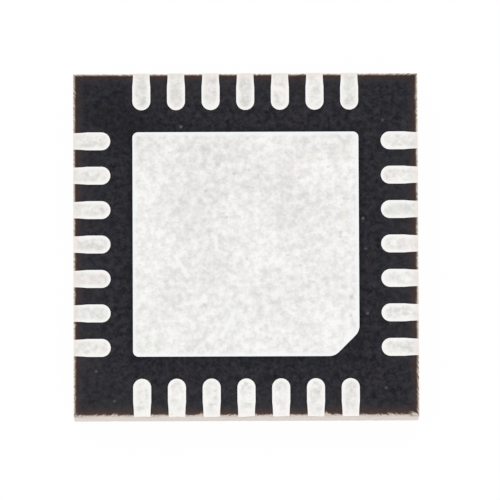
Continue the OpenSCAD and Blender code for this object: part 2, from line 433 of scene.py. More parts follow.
stroke_inputs = {"Start": (0.0, 0.0, 0.0), "End": (0.1, 0.0, 0.0), "Width": 0.02, "Fray": EVEN}
stroke, given, result = start_group("stroke", stroke_inputs)
flat_place = calculate_vector(stroke, "MULTIPLY", place_in_mm(stroke), (1.0, 1.0, 0.0))
from_start = calculate_vector(stroke, "SUBTRACT", flat_place, given["Start"])
line = calculate_vector(stroke, "SUBTRACT", given["End"], given["Start"])
line_squared = calculate_vector(stroke, "DOT_PRODUCT", line, line, output=1)
line_squared = calculate(stroke, "MAXIMUM", line_squared, SHORTEST_SQUARED)
travelled = calculate_vector(stroke, "DOT_PRODUCT", from_start, line, output=1)
share_along = calculate(stroke, "DIVIDE", travelled, line_squared, clamp=True)
scale_node = add_node(stroke, "VectorMath", {"Vector": line, "Scale": share_along}, operation="SCALE")
off_line = calculate_vector(stroke, "SUBTRACT", from_start, scale_node.outputs[0])
distance = calculate_vector(stroke, "LENGTH", off_line, output=1)
frayed = calculate(stroke, "MULTIPLY_ADD", given["Fray"], FRAY_SPAN, FRAY_LEAST)
nearness = calculate(stroke, "DIVIDE", calculate(stroke, "MULTIPLY", distance, frayed), given["Width"])
feed(stroke, result["Mask"], fall_between(stroke, nearness, *STROKE_EDGE))
print("group", stroke.name)

# %% [markdown]
# Finishes change near two square outlines: at the saw cut round the package, and at the rim of the big
# pad. The larger of the two distances from the middle, across and along, is the same all round a square,
# so one comparison finds the outline. The pad also has one chamfered corner, and the chamfer is a line
# where X minus Y has one value. Some noise makes the band ragged.

# %% Square rim group
DIAGONAL = math.sqrt(0.5)

rim_inputs = {"Edge": 2.0, "Reach": 0.05, "Raggedness": 0.0, "Chamfer line": 99.0}
square_rim, given, result = start_group("square rim", rim_inputs)
place = place_in_mm(square_rim)
across = axes_from_middle(square_rim)
from_middle = calculate(square_rim, "MAXIMUM", across["X"], across["Y"])
from_edge = calculate(square_rim, "ABSOLUTE", calculate(square_rim, "SUBTRACT", from_middle, given["Edge"]))
x_less_y = calculate_vector(square_rim, "DOT_PRODUCT", place, (1.0, -1.0, 0.0), output=1)
past_chamfer = calculate(square_rim, "SUBTRACT", given["Chamfer line"], x_less_y)
from_chamfer = calculate(square_rim, "MULTIPLY", calculate(square_rim, "ABSOLUTE", past_chamfer), DIAGONAL)
from_edge = calculate(square_rim, "MINIMUM", from_edge, from_chamfer)
wobble = calculate(square_rim, "MULTIPLY", use_group(square_rim, grain, size=0.06), given["Raggedness"])
from_edge = calculate(square_rim, "ADD", from_edge, wobble)
nearness = calculate(square_rim, "DIVIDE", from_edge, given["Reach"])
feed(square_rim, result["Mask"], fall_between(square_rim, nearness))
print("group", square_rim.name)


def near_saw_cut(tree, reach, raggedness=0.0):
    """1 at the package's sawn outline, and 0 further from it than the reach."""
    return use_group(tree, square_rim, edge=half_side, reach=reach, raggedness=raggedness)


# %% [markdown]
# The leads have a rim too, along both sides and round the inner end. All their centre lines lie on
# multiples of the pitch, so the distance from the nearest multiple is the distance from the middle of a
# lead. Past the centre of the round end that distance turns into a radius.

# %% Lead rim group
lead_rim_inputs = {"Pitch": 0.5, "Half width": 0.13, "End centre": 2.0, "Reach": 0.04}
lead_rim, given, result = start_group("lead rim", lead_rim_inputs)
across = axes_from_middle(lead_rim)
outward = calculate(lead_rim, "MAXIMUM", across["X"], across["Y"])
sideways = calculate(lead_rim, "MINIMUM", across["X"], across["Y"])
half_pitch = calculate(lead_rim, "MULTIPLY", given["Pitch"], 0.5)
off_centre = calculate(lead_rim, "PINGPONG", sideways, half_pitch)
past_end = calculate(lead_rim, "SUBTRACT", given["End centre"], outward)
past_end = calculate(lead_rim, "MAXIMUM", past_end, 0.0)
off_centre_squared = calculate(lead_rim, "POWER", off_centre, 2.0)
squares = calculate(lead_rim, "MULTIPLY_ADD", past_end, past_end, off_centre_squared)
radius = calculate(lead_rim, "SQRT", squares)
from_rim = calculate(lead_rim, "SUBTRACT", given["Half width"], radius)
nearness = calculate(lead_rim, "DIVIDE", from_rim, given["Reach"])
feed(lead_rim, result["Mask"], fall_between(lead_rim, nearness))
print("group", lead_rim.name)

# %% [markdown]
# A face's own direction tells which zone of a piece it is: up is the terminal face, sideways is sawn, and
# what lies between is a rounded or broken edge. The group gives how far a surface is turned towards a
# chosen axis.

# %% Facing group
facing, given, result = start_group("facing", {"Axis": (0.0, 0.0, 1.0)})
normal = add_node(facing, "NewGeometry").outputs["Normal"]
feed(facing, result["Mask"], calculate_vector(facing, "DOT_PRODUCT", normal, given["Axis"], output=1))
print("group", facing.name)

# %% [markdown]
# Each finish is a Principled shader with its own recipe for colour, roughness and bump. Starting one is
# always the same few lines, so a helper does it.

# %% Helper for finishes
def start_finish(name):
    """A material with a Principled shader, and its node tree."""
    material = bpy.data.materials.new(name)
    material.use_nodes = True
    return material, material.node_tree, material.node_tree.nodes["Principled BSDF"]


def raise_surface(tree, shader, heights, depth):
    """Bumps the surface by a mask, where depth is what a full step of the mask is, in millimetres."""
    bump = add_node(tree, "Bump", {"Height": heights, "Distance": depth * MM, "Strength": 1.0})
    feed(tree, shader.inputs["Normal"], bump.outputs[0])


# %% [markdown]
# Matt tin plate is a pale grey metal of tiny crystals. Close up it is mottled, with darker pits and short
# bright scuffs from handling, which also stand in as painted glints, and a painted highlight makes it
# brightest along its rim, where it rolls over an edge. It is put on after the casting, so the copper stays
# bare wherever the epoxy hides it. The sawn ends show copper too, but the blade smears tin down over most
# of each. The base colour of a metal is the colour that it reflects, so one metallic shader takes them all.

# %% Colours of tin and copper
PAD_TIN = ((0.655, 0.640, 0.622, 1), (1.0, 0.994, 0.986, 1))
LEAD_TIN = ((0.645, 0.630, 0.605, 1), (1.0, 0.994, 0.972, 1))
TIN_PIT = (0.60, 0.59, 0.57, 1)
# Bright scuffs and scratches, also used as painted glints.
TIN_SCUFF_AND_GLINT = (1.0, 0.99, 0.98, 1)
TIN_NEAR_CUT = (0.905, 0.83, 0.785, 1)
TIN_NEAR_FRONT_CUT = (1.0, 0.965, 0.935, 1)
# Painted highlights: the colours that the rims of the pad and the leads are brightened to.
PAD_RIM_HIGHLIGHT = (0.96, 0.98, 1.0, 1)
LEAD_RIM_HIGHLIGHT = (1.0, 0.99, 0.97, 1)
SAWN_COPPER = (0.50, 0.33, 0.25, 1)
SAWN_COPPER_DULL = (0.36, 0.23, 0.17, 1)
BARE_COPPER = (0.86, 0.52, 0.38, 1)
BARE_COPPER_DULL = (0.66, 0.37, 0.26, 1)
SMEARED_TIN = (0.97, 0.96, 0.945, 1)
print("tin on the pad goes from", PAD_TIN[0][:3], "to", PAD_TIN[1][:3])

# %% [markdown]
# The mottle is one value from dull to bright. It drives the tin's colour, its roughness and its bump
# together, as crystals do. Those of a tenth of a millimetre lie over slow changes of almost a millimetre,
# and a painted light over the whole makes it a little lighter towards the front and the right.

# %% Mottle of the tin
CRYSTAL_SHARE = 0.75
DRIFT_SHARE = 0.3
SLOPE_SHARE = (0.1, 0.23)
SLOPE_REACH = 3.5
SLOPE_TO_THE_RIGHT = 0.6


def tin_mottle(tree, seed):
    """How bright the tin is, from 0 to 1, with a painted light over it."""
    crystals = use_group(tree, grain, size=0.11, roughness=0.75, low=0.22, high=0.78, seed=seed)
    drift = use_group(tree, grain, size=0.9, roughness=0.5, low=0.25, high=0.75, seed=seed + 2)
    place = place_axes(tree)
    to_the_right = calculate(tree, "MULTIPLY", place["X"], SLOPE_TO_THE_RIGHT)
    forward = calculate(tree, "SUBTRACT", to_the_right, place["Y"])
    # Painted light: the tin is made lighter towards the front and the right, as if lit more from there.
    painted_light_slope = ramp_between(tree, forward, -SLOPE_REACH, SLOPE_REACH, *SLOPE_SHARE)
    crystals = calculate(tree, "MULTIPLY", crystals, CRYSTAL_SHARE)
    crystals_and_drift = calculate(tree, "MULTIPLY_ADD", drift, DRIFT_SHARE, crystals)
    return calculate(tree, "ADD", crystals_and_drift, painted_light_slope, clamp=True)


# %% [markdown]
# Three things are found by their place alone. The ends that the saw cut are the side faces in the
# package's outline, and the smeared tin reaches down them as far as a ragged height. The copper that was
# never plated is all that lies below the face of the epoxy. The tin that the hot blade turned warm is in
# the last tenths of a millimetre.

# %% Sawn ends, sealed copper and scorched tin
SAWN_LINE = 0.006
TURNED_ASIDE = (0.3, 0.5)
SMEAR_EDGE = (-0.04, 0.01)
SEAL_LINE = (0.004, 0.001)
TIN_FRONT = (-1.8, -2.2)


def sawn_ends(tree, smear_depth, seed):
    """Where the saw cut the copper, and where it smeared tin down over it from the plated face."""
    height = place_axes(tree)["Z"]
    smear = use_group(tree, grain, size=0.12, squeeze=(0.4, 0.4, 2.5), low=0.25, high=0.75, seed=seed)
    lowest = calculate(tree, "MULTIPLY_ADD", smear, -smear_depth, plated_face - 0.5 * smear_depth)
    smeared = ramp_between(tree, calculate(tree, "SUBTRACT", height, lowest), *SMEAR_EDGE)
    side = fall_between(tree, use_group(tree, facing), *TURNED_ASIDE)
    cut = calculate(tree, "MULTIPLY", near_saw_cut(tree, SAWN_LINE), side)
    return cut, smeared


def sealed_in(tree):
    """1 on what the epoxy hides, where the copper was never plated, and 0 on what stands out of it."""
    low, high = (mould_face - below for below in SEAL_LINE)
    return fall_between(tree, place_axes(tree)["Z"], low, high)


def near_cut_tint(tree):
    """Tin scorched a warm shade by the blade, paler along the front."""
    front = ramp_between(tree, place_axes(tree)["Y"], *TIN_FRONT)
    return mix_colours(tree, front, TIN_NEAR_CUT, TIN_NEAR_FRONT_CUT)


# %% [markdown]
# The recipe lays one thing over another, from the tin itself to what happened to it last. The leads and
# the big pad share it. They differ in how the rims that get a painted highlight are found and in their
# marks of handling, so it takes a function for each.

# %% Tin plate
SCUFF_AND_GLINT_ANGLES = (62, -54, 12)


def tin_plate(name, dull, bright, highlight_rim_mask, rim_highlight, stains, smear_depth, seed):
    """Matt tin over copper. The rim mask finds the rim that gets a painted highlight, and stains lays on the
    marks of handling.
    """
    material, tree, shader = start_finish(name)
    mottle = tin_mottle(tree, seed)
    colour = mix_colours(tree, mottle, dull, bright)
    pits = use_group(tree, marks, spacing=0.16, length=0.06, width=0.05, share=0.25, seed=seed)
    colour = lay_tint(tree, colour, pits, strength=0.4, tint=TIN_PIT)
    # Bright scuffs from handling, which also serve as painted glints on the tin.
    scuff_and_glint_shape = {"spacing": 0.09, "length": 0.16, "width": 0.028, "share": 0.2}
    for angle in SCUFF_AND_GLINT_ANGLES:
        scuff_and_glint = use_group(tree, marks, angle=math.radians(angle), seed=seed + angle, **scuff_and_glint_shape)
        colour = lay_tint(tree, colour, scuff_and_glint, strength=0.35, tint=TIN_SCUFF_AND_GLINT)
    colour = stains(tree, colour)
    # Painted highlight: the rim of the plating is brightened in its colour.
    colour = mix_colours(tree, highlight_rim_mask(tree), colour, rim_highlight)
    near_cut = near_saw_cut(tree, 0.16, raggedness=0.05)
    colour = lay_tint(tree, colour, near_cut, strength=0.8, tint=near_cut_tint(tree))
    bare = mix_colours(tree, mottle, BARE_COPPER_DULL, BARE_COPPER)
    colour = mix_colours(tree, sealed_in(tree), colour, bare)
    cut, smeared = sawn_ends(tree, smear_depth, seed)
    streaks = use_group(
        tree, grain, size=0.04, squeeze=(0.3, 0.3, 2.5), low=0.35, high=0.65, seed=seed + 1
    )
    copper = mix_colours(tree, streaks, SAWN_COPPER, SAWN_COPPER_DULL)
    colour = mix_colours(tree, cut, colour, mix_colours(tree, smeared, copper, SMEARED_TIN))
    burnish = ramp_between(tree, calculate(tree, "MULTIPLY", cut, smeared), start=1.0, end=0.5)
    roughness = ramp_between(tree, mottle, start=0.5, end=0.37)
    roughness = calculate(tree, "MULTIPLY", roughness, burnish)
    feed_all(tree, shader, {"Base Color": colour, "Metallic": 1.0, "Roughness": roughness})
    raise_surface(tree, shader, calculate(tree, "SUBTRACT", mottle, pits), depth=0.003)
    return material


# %% [markdown]
# The leads have small dark blots and faint casts, no two terminals quite alike. The big pad also shows
# what it went through: a few faint scratches, some deeper pits, and stains that are hardly there, olive,
# yellow and rose, such as flux and fingers leave on tin. Each is a stroke laid at its place on the pad,
# in millimetres from the middle, with its width and its strength.

# %% Marks of handling
OLIVE = (0.62, 0.66, 0.46, 1)
YELLOW = (0.86, 0.81, 0.69, 1)
ROSE = (0.80, 0.64, 0.60, 1)
BLUE_GREY = (0.72, 0.78, 0.86, 1)
GREEN_CAST = (0.79, 0.86, 0.79, 1)
ROSE_CAST = (0.95, 0.83, 0.84, 1)
SMUDGES = [
    ((0.90, 1.26), (0.96, 1.28), 0.16, OLIVE, 0.14),
    ((0.64, 1.13), (0.72, 1.15), 0.14, ROSE, 0.13),
    ((1.40, 0.42), (1.40, 0.26), 0.1, OLIVE, 0.16),
    ((1.25, -0.08), (1.17, -0.27), 0.18, YELLOW, 0.16),
    ((1.40, -0.78), (1.44, -0.88), 0.16, YELLOW, 0.13),
    ((-1.46, -1.46), (-1.36, -1.40), 0.16, OLIVE, 0.12),
    ((-1.13, -0.86), (-1.08, -0.80), 0.14, YELLOW, 0.17),
    ((-0.49, -0.52), (-0.43, -0.50), 0.13, YELLOW, 0.14),
    ((-0.24, -0.98), (-0.2, -1.12), 0.2, BLUE_GREY, 0.15),
    ((1.38, 1.34), (1.42, 1.44), 0.16, OLIVE, 0.13),
    ((1.40, -1.22), (1.32, -1.32), 0.12, OLIVE, 0.09),
]
PITS = [
    (1.51, -0.78), (1.51, -1.05), (1.41, 0.66), (1.37, 0.17), (-0.27, 0.39), (-0.39, 1.16), (-0.59, -0.89)
]
PIT = {"width": 0.045, "tint": TIN_PIT, "strength": 0.6}
SCRATCHES = [
    ((-0.34, -1.33), (-0.17, -0.98)),
    ((-1.01, -0.18), (-0.84, -0.47)),
    ((-0.44, 0.10), (-0.42, -0.08)),
]
SCRATCH = {"width": 0.045, "tint": TIN_SCUFF_AND_GLINT, "strength": 0.8}
LEAD_PATCHES = [
    (0.3, GREEN_CAST, 0.3, 11.0),
    (0.3, ROSE_CAST, 0.35, 12.0),
    (0.1, TIN_PIT, 0.5, 13.0),
]


def lay_stroke(tree, colour, start, end, width, tint, strength, fray=EVEN):
    """Lays one stroke over the colour."""
    line = use_group(tree, stroke, start=(*start, 0.0), end=(*end, 0.0), width=width, fray=fray)
    return lay_tint(tree, colour, line, strength, tint)


def lead_stains(tree, colour):
    """Dark blots, and faint green and rose casts that differ from terminal to terminal."""
    for size, tint, strength, seed in LEAD_PATCHES:
        patches = use_group(tree, grain, size=size, roughness=0.6, low=0.5, high=0.68, seed=seed)
        colour = lay_tint(tree, colour, patches, strength, tint)
    return colour


def pad_stains(tree, colour):
    """Smudges, pits and scratches of the thermal pad."""
    fray = use_group(tree, grain, size=0.08, roughness=0.8, low=0.25, high=0.75)
    for smudge in SMUDGES:
        colour = lay_stroke(tree, colour, *smudge, fray)
    for place in PITS:
        colour = lay_stroke(tree, colour, place, place, fray=fray, **PIT)
    for start, end in SCRATCHES:
        colour = lay_stroke(tree, colour, start, end, fray=fray, **SCRATCH)
    return colour


print("marks on the pad:", len(SMUDGES) + len(PITS) + len(SCRATCHES))

# %% [markdown]
# Now the recipe makes two finishes. The blade draws tin down over the ends of the leads only, so the pad,
# with the ends of its tie bars at the corners, gets no smear.

# %% Finishes of the leads and the thermal pad
HIGHLIGHT_REACH = 0.08
SMEAR_DEPTH = 0.16


def lead_highlight_rim(tree):
    """The rim of every lead, where a highlight is painted."""
    lead_shape = {"pitch": pitch, "half_width": lead_half, "end_centre": round_end}
    return use_group(tree, lead_rim, reach=HIGHLIGHT_REACH, **lead_shape)


def pad_highlight_rim(tree):
    """The rim of the thermal pad, where a highlight is painted."""
    return use_group(tree, square_rim, edge=pad_half, reach=HIGHLIGHT_REACH, chamfer_line=chamfer_line)


lead_finish = tin_plate(
    "tin plate on the leads", *LEAD_TIN, lead_highlight_rim, LEAD_RIM_HIGHLIGHT, lead_stains, SMEAR_DEPTH, seed=3.0
)
pad_finish = tin_plate(
    "tin plate on the thermal pad", *PAD_TIN, pad_highlight_rim, PAD_RIM_HIGHLIGHT, pad_stains, 0.0, seed=8.0
)
print("finishes:", lead_finish.name, "and", pad_finish.name)

# %% [markdown]
# Mould compound is black epoxy packed with glass-like silica grains. The cast faces are matt charcoal
# with a fine mottle, drifts of brown and blue, and here and there a pale grain. On the terminal side a
# painted shade darkens them next to the thermal pad, and they are a shade lighter between the leads and
# towards the edges. In the last tenths of a millimetre before the saw cut the blade's heat turned them
# brown, most so along the front and the right. A broken edge is browner still, and where it is steep it
# gets a pale painted sheen.

# %% Colours of mould compound
MOULD_DARK = (0.0025, 0.0025, 0.005, 1)
MOULD_LIGHT = (0.0345, 0.0345, 0.0415, 1)
MOULD_PALER = (0.036, 0.035, 0.039, 1)
MOULD_BROWN = (0.026, 0.016, 0.017, 1)
MOULD_BLUE = (0.009, 0.013, 0.026, 1)
MOULD_SCORCHED = (0.078, 0.040, 0.033, 1)
MOULD_SINGED = (0.050, 0.0225, 0.009, 1)
MOULD_BROKEN = (0.133, 0.096, 0.075, 1)
# Painted sheen: the pale colour of steep broken faces.
CHIP_PAINTED_SHEEN = (0.80, 0.69, 0.60, 1)
PALE_GRAIN = (0.13, 0.13, 0.14, 1)
print("mould compound goes from", MOULD_DARK[:3], "to", MOULD_LIGHT[:3])

# %% [markdown]
# The first layers are the mottle, the paler zones and the drifts of colour. The epoxy is paler near the
# outline and in the four rows of leads, where a mask finds it by the distance from the middle.

# %% Body of the cast mould
TERMINAL_SIDE = (0.4, 0.6)
FRONT = (-2.0, -2.3)
OUTER_PALING = (0.58, 0.9)
ROW_PALING = 0.25
ROW_STARTS = (round_end - 0.2, round_end + 0.1)
row_end = 3 * pitch + lead_half
ROW_ENDS = (row_end, row_end + 0.2)


def between_leads(tree):
    """1 in the four rows of leads, and 0 in the corners and round the pad."""
    across = axes_from_middle(tree)
    outward = calculate(tree, "MAXIMUM", across["X"], across["Y"])
    sideways = calculate(tree, "MINIMUM", across["X"], across["Y"])
    in_row = ramp_between(tree, outward, *ROW_STARTS)
    before_end = fall_between(tree, sideways, *ROW_ENDS)
    return calculate(tree, "MULTIPLY", in_row, before_end)


cast_finish, tree, shader = start_finish("cast mould compound")
place = place_axes(tree)
terminal_side = ramp_between(tree, place["Z"], *TERMINAL_SIDE)
mottle = use_group(tree, grain, size=0.09, roughness=0.85, low=0.28, high=0.72, seed=1.0)
colour = mix_colours(tree, mottle, MOULD_DARK, MOULD_LIGHT)
outer = near_saw_cut(tree, 0.3, raggedness=0.08)
row_of_leads = calculate(tree, "MULTIPLY", between_leads(tree), terminal_side)
front = ramp_between(tree, place["Y"], *FRONT)
outer_paling = ramp_between(tree, front, 0.0, 1.0, *OUTER_PALING)
paler_rows = calculate(tree, "MULTIPLY", row_of_leads, ROW_PALING)
paler_zones = calculate(tree, "MULTIPLY_ADD", outer, outer_paling, paler_rows)
colour = mix_colours(tree, paler_zones, colour, MOULD_PALER)
for tint, seed in ((MOULD_BROWN, 3.0), (MOULD_BLUE, 4.0)):
    drift = use_group(tree, grain, size=0.22, roughness=0.9, low=0.47, high=0.67, seed=seed)
    colour = lay_tint(tree, colour, drift, strength=0.35, tint=tint)
# Painted shade: the epoxy next to the thermal pad is darkened as if the pad shaded it.
shade_band_round_the_pad = use_group(tree, square_rim, edge=pad_half, reach=0.12)
painted_shade_by_pad = calculate(tree, "MULTIPLY", shade_band_round_the_pad, terminal_side)
colour = lay_tint(tree, colour, painted_shade_by_pad, strength=0.4, tint=MOULD_DARK)
print("laid the mottle, wear and drifts of", cast_finish.name)

# %% [markdown]
# Over that come single things. Small pale specks are strewn everywhere, a painted shade darkens one corner
# and another corner is paler, and a few larger silica grains lie open at the surface and shine out.

# %% Grains and corners of the cast mould
# The first corner is a painted shade, the second is only paler.
CORNER_SHADE_AND_PALING = [
    ((-1.86, 1.9), (-1.66, 1.7), 0.6, MOULD_DARK, 0.42),
    ((-2.35, -1.8), (-1.8, -2.25), 0.5, MOULD_PALER, 0.2),
]
PALE_GRAINS = [
    ((-0.93, 1.71), 1.0),
    ((1.69, 0.37), 0.9),
    ((1.75, -1.01), 0.7),
    ((-2.16, -1.84), 0.6),
    ((-1.90, -2.27), 0.55),
    ((2.01, -2.09), 0.55),
    ((1.98, 1.80), 0.5),
    ((1.73, -0.07), 0.5),
]
GRAIN_WIDTH = 0.033

specks = use_group(tree, marks, spacing=0.13, length=0.025, width=0.025, share=0.35, seed=4.0)
colour = lay_tint(tree, colour, specks, strength=0.15, tint=PALE_GRAIN)
for corner_tone in CORNER_SHADE_AND_PALING:
    colour = lay_stroke(tree, colour, *corner_tone)
for spot, strength in PALE_GRAINS:
    colour = lay_stroke(tree, colour, spot, spot, GRAIN_WIDTH, PALE_GRAIN, strength)
print("laid", len(PALE_GRAINS), "pale grains")

# %% [markdown]
# The blade comes last. Heat says how strongly it scorched the epoxy: more towards the front and the
# right, more between the leads, and most along the very front. Three bands of it lie one in the other:
# brown, a darker one that the front lacks, and a crumbled one. The facing mask then finds broken edges by
# their slope, and the steep ones get a pale painted sheen.

# %% Scorch of the saw cut
FRONT_EDGE = (-2.22, -2.34)
HEAT_REACH = 2.5
SLOPING = (0.9, 0.98)
STEEP = (0.4, 0.65)

x_less_y = calculate(tree, "SUBTRACT", place["X"], place["Y"])
front_and_right = ramp_between(tree, x_less_y, -HEAT_REACH, HEAT_REACH, start=0.5, end=0.8)
in_the_row = ramp_between(tree, row_of_leads, start=0.65, end=1.0)
along_the_front = ramp_between(tree, place["Y"], *FRONT_EDGE, start=0.0, end=0.85)
heat = calculate(tree, "MULTIPLY", front_and_right, in_the_row)
heat = calculate(tree, "MAXIMUM", heat, along_the_front)
scorched = near_saw_cut(tree, 0.18, raggedness=0.04)
colour = lay_tint(tree, colour, scorched, heat, MOULD_SCORCHED)
singed = near_saw_cut(tree, 0.11, raggedness=0.02)
not_in_front = fall_between(tree, front)
colour = lay_tint(tree, colour, singed, not_in_front, MOULD_SINGED)
crumbled = near_saw_cut(tree, 0.06, raggedness=0.025)
colour = lay_tint(tree, colour, crumbled, heat, MOULD_BROKEN)
up = calculate(tree, "ABSOLUTE", use_group(tree, facing))
colour = mix_colours(tree, fall_between(tree, up, *SLOPING), colour, MOULD_BROKEN)
# Painted sheen: steep broken faces are made pale for the light they catch.
colour = mix_colours(tree, fall_between(tree, up, *STEEP), colour, CHIP_PAINTED_SHEEN)
roughness = ramp_between(tree, mottle, start=0.66, end=0.58)
feed_all(tree, shader, {"Base Color": colour, "Specular IOR Level": 0.17, "Roughness": roughness})
raise_surface(tree, shader, mottle, depth=0.003)
print("finish:", cast_finish.name)

# %% [markdown]
# The saw leaves the sides of the epoxy burnished and dusty: grey seen square on, and nearly as white as
# the table seen along the face. A thin clear coat and a warm sheen reproduce that. They need their own
# material, because a sheen has one strength for a whole material. The coat fades towards the upper edge,
# where the face is crumbled, and a painted light makes the bottom of the face paler, next to the bright
# table.

# %% Sawn mould compound
SAWN_PALE = (0.14, 0.116, 0.098, 1)
SAWN_DARK = (0.045, 0.040, 0.037, 1)
SAWN_DUST = (1.0, 0.87, 0.77, 1)
SAWN_FOOT_PAINTED_LIGHT = (0.30, 0.265, 0.235, 1)
PAINTED_LIGHT_HEIGHTS = (0.05, 0.35)
COAT_FADES = (0.5, 1.05)
GRAIN_SHARE = 0.6
LINE_SHARE = 0.5

sawn_finish, tree, shader = start_finish("sawn mould compound")
lines = use_group(tree, grain, size=0.05, squeeze=(0.15, 0.15, 3.0), low=0.3, high=0.7, seed=5.0)
cut_grains = use_group(tree, marks, spacing=0.045, length=0.03, width=0.025, share=0.5, seed=6.0)
blotches = calculate(tree, "MULTIPLY", lines, LINE_SHARE)
blotches = calculate(tree, "MULTIPLY_ADD", cut_grains, GRAIN_SHARE, blotches)
colour = mix_colours(tree, blotches, SAWN_DARK, SAWN_PALE)
height = place_axes(tree)["Z"]
crumbs = use_group(tree, grain, size=0.16, roughness=0.8, low=0.3, high=0.7, seed=7.0)
# Painted light: the bottom of the sawn face is made paler, as if lit by the table beside it.
painted_table_light = ramp_between(tree, height, *PAINTED_LIGHT_HEIGHTS, start=0.6, end=0.0)
colour = lay_tint(tree, colour, painted_table_light, crumbs, SAWN_FOOT_PAINTED_LIGHT)
crumbled = calculate(tree, "MULTIPLY_ADD", crumbs, 0.35, height)
sawn_sockets = {
    "Base Color": colour,
    "Specular IOR Level": 0.5,
    "Roughness": ramp_between(tree, lines, start=0.26, end=0.36),
    "Coat Weight": ramp_between(tree, crumbled, *COAT_FADES, start=1.0, end=0.15),
    "Coat Roughness": 0.14,
    "Coat IOR": 1.75,
    "Sheen Weight": 1.0,
    "Sheen Roughness": 0.5,
    "Sheen Tint": SAWN_DUST,
}
feed_all(tree, shader, sawn_sockets)
raise_surface(tree, shader, lines, depth=0.001)
print("finish:", sawn_finish.name)

# %% [markdown]
# The pieces that the epoxy hides have finishes too, because the part may be opened up in a viewer. Gold
# wire is drawn through a die and stays bright. The glue under the silicon is epoxy full of silver flakes.

# %% Gold wire and silver epoxy
GOLD = (0.90, 0.66, 0.27, 1)
GOLD_WORN = (0.80, 0.56, 0.22, 1)
gold_finish, tree, shader = start_finish("gold wire")
drawn = use_group(tree, grain, size=0.02, low=0.3, high=0.7)
colour = mix_colours(tree, drawn, GOLD, GOLD_WORN)
roughness = ramp_between(tree, drawn, start=0.22, end=0.34)
feed_all(tree, shader, {"Base Color": colour, "Metallic": 1.0, "Roughness": roughness})

EPOXY = (0.55, 0.55, 0.54, 1)
EPOXY_DARK = (0.34, 0.34, 0.34, 1)
epoxy_finish, tree, shader = start_finish("silver epoxy")
flakes = use_group(tree, grain, size=0.03, low=0.4, high=0.6)
colour = mix_colours(tree, flakes, EPOXY, EPOXY_DARK)
metallic = ramp_between(tree, flakes, start=0.8, end=0.3)
feed_all(tree, shader, {"Base Color": colour, "Metallic": metallic, "Roughness": 0.5})
raise_surface(tree, shader, flakes, depth=0.002)
print("finishes:", gold_finish.name, "and", epoxy_finish.name)

# %% [markdown]
# The die is a chip of silicon, sawn out of a wafer. Its circuit is a stack of films far thinner than a
# hair, so it is part of the finish: blocks of green and violet with wiring channels between them, and a
# row of aluminium bond pads along each side. The pads have to lie under the balls of the wires, so their
# places are read from there. The die hangs upside down here, with the circuit towards the marked face.

# %% Bond pads of the die
BOND_PAD_HALF = 0.042
ROW_END_STEPS = 3.4
die_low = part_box("die")[0] / MM


def ball_place(name):
    """Where the ball of a wire sits on the die, in millimetres."""
    points = [vertex.co / MM for vertex in nodes[name].data.vertices]
    on_die = [point for point in points if abs(point.z - die_low.z) < SAME_HEIGHT]
    return sum(on_die, Vector()) / len(on_die)


def bond_pads(tree, along, across, row_name, next_name, axis):
    """The two rows of bond pads that the named wire and its neighbour belong to."""
    first, second = ball_place(row_name), ball_place(next_name)
    step = abs(second[axis] - first[axis])
    off_pad = calculate(tree, "PINGPONG", along, step / 2)
    off_row = calculate(tree, "ABSOLUTE", calculate(tree, "SUBTRACT", across, abs(first[1 - axis])))
    in_both = calculate(tree, "LESS_THAN", calculate(tree, "MAXIMUM", off_pad, off_row), BOND_PAD_HALF)
    before_end = calculate(tree, "LESS_THAN", along, ROW_END_STEPS * step)
    return calculate(tree, "MULTIPLY", in_both, before_end)


print("a bond pad lies at", [round(c, 3) for c in ball_place("bond_wire_04")])

# %% [markdown]
# The rest of the circuit is a Voronoi texture with square cells: each block takes its colour from its
# cell, and the channels run where a cell ends. Fine rows of logic cells lie over it all. Only the face
# that looks down gets the circuit, and the diced sides stay bare silicon.

# %% Silicon die
SILICON = (0.09, 0.10, 0.13, 1)
SILICON_EDGE = (0.16, 0.17, 0.20, 1)
CIRCUIT_GREEN = (0.08, 0.15, 0.12, 1)
CIRCUIT_VIOLET = (0.20, 0.11, 0.18, 1)
CHANNEL = (0.26, 0.25, 0.22, 1)
BOND_PAD = (0.80, 0.80, 0.81, 1)
CIRCUIT_BLOCK = 0.17
CHANNEL_EDGE = (0.42, 0.5)
TURNED_DOWN = (0.5, 0.9)

silicon_finish, tree, shader = start_finish("silicon with its circuit")
diced = use_group(tree, grain, size=0.03, squeeze=(0.3, 0.3, 2.0), low=0.3, high=0.7)
colour = mix_colours(tree, diced, SILICON, SILICON_EDGE)
across = axes_from_middle(tree)
block_sockets = {"Vector": place_in_mm(tree), "Scale": 1 / CIRCUIT_BLOCK}
blocks = add_node(tree, "TexVoronoi", block_sockets, distance="CHEBYCHEV").outputs
lottery = add_node(tree, "SeparateColor", {"Color": blocks["Color"]}).outputs[0]
circuit = mix_colours(tree, lottery, CIRCUIT_GREEN, CIRCUIT_VIOLET)
rows_of_cells = use_group(tree, grain, size=0.02, squeeze=(3.0, 0.2, 1.0), low=0.45, high=0.55, seed=2.0)
circuit = lay_tint(tree, circuit, rows_of_cells, strength=0.3, tint=CHANNEL)
circuit = mix_colours(tree, ramp_between(tree, blocks["Distance"], *CHANNEL_EDGE), circuit, CHANNEL)
pads = calculate(
    tree,
    "MAXIMUM",
    bond_pads(tree, across["X"], across["Y"], "bond_wire_04", "bond_wire_05", 0),
    bond_pads(tree, across["Y"], across["X"], "bond_wire_11", "bond_wire_12", 1),
)
circuit = mix_colours(tree, pads, circuit, BOND_PAD)
down = use_group(tree, facing, axis=(0.0, 0.0, -1.0))
circuit_side = ramp_between(tree, down, *TURNED_DOWN)
colour = mix_colours(tree, circuit_side, colour, circuit)
roughness = ramp_between(tree, diced, start=0.15, end=0.35)
feed_all(tree, shader, {"Base Color": colour, "Metallic": 0.6, "Roughness": roughness})
print("finish:", silicon_finish.name)

